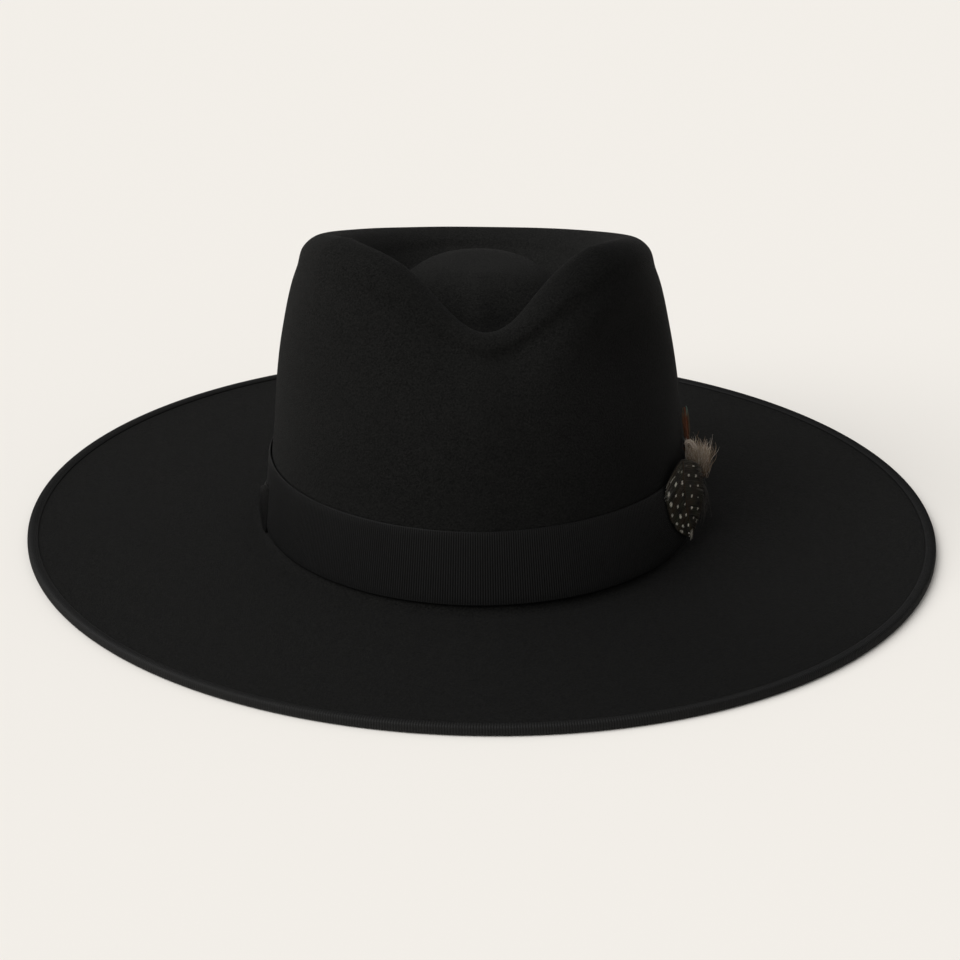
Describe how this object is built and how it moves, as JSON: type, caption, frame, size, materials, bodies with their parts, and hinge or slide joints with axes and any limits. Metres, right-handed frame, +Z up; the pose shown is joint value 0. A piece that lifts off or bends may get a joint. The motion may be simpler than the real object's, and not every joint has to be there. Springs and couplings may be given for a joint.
{
  "type": "wide brim hat",
  "caption": "Black felt hat with a wide flat bound brim, a teardrop crown with a V in front, a ribbon band, a side bow and a small bunch of feathers.",
  "frame": {"origin": "under the middle of the crown, on the surface that the hat stands on", "axes": "+Z up, -Y towards the front of the hat, +X towards the wearer's left, where the feathers are"},
  "size_m": [0.3694, 0.4084, 0.131],
  "materials": {
    "felt": "brushed black fur felt",
    "grosgrain": "ribbed black ribbon with a soft sheen",
    "guinea_feather": "dark brown vane with cream spots",
    "rust_feather": "rust vane with a blue-green tip",
    "down": "matt taupe down",
    "plume": "matt grey down"
  },
  "bodies": {
    "root": {"felt_body": "felt", "brim_binding": "grosgrain", "hat_band": "grosgrain", "bow_loop_front": "grosgrain", "bow_loop_rear": "grosgrain", "bow_knot": "grosgrain", "guinea_feather": "guinea_feather", "rust_feather": "rust_feather", "down_tuft": "down", "grey_plume": "plume"}
  },
  "joints": []
}
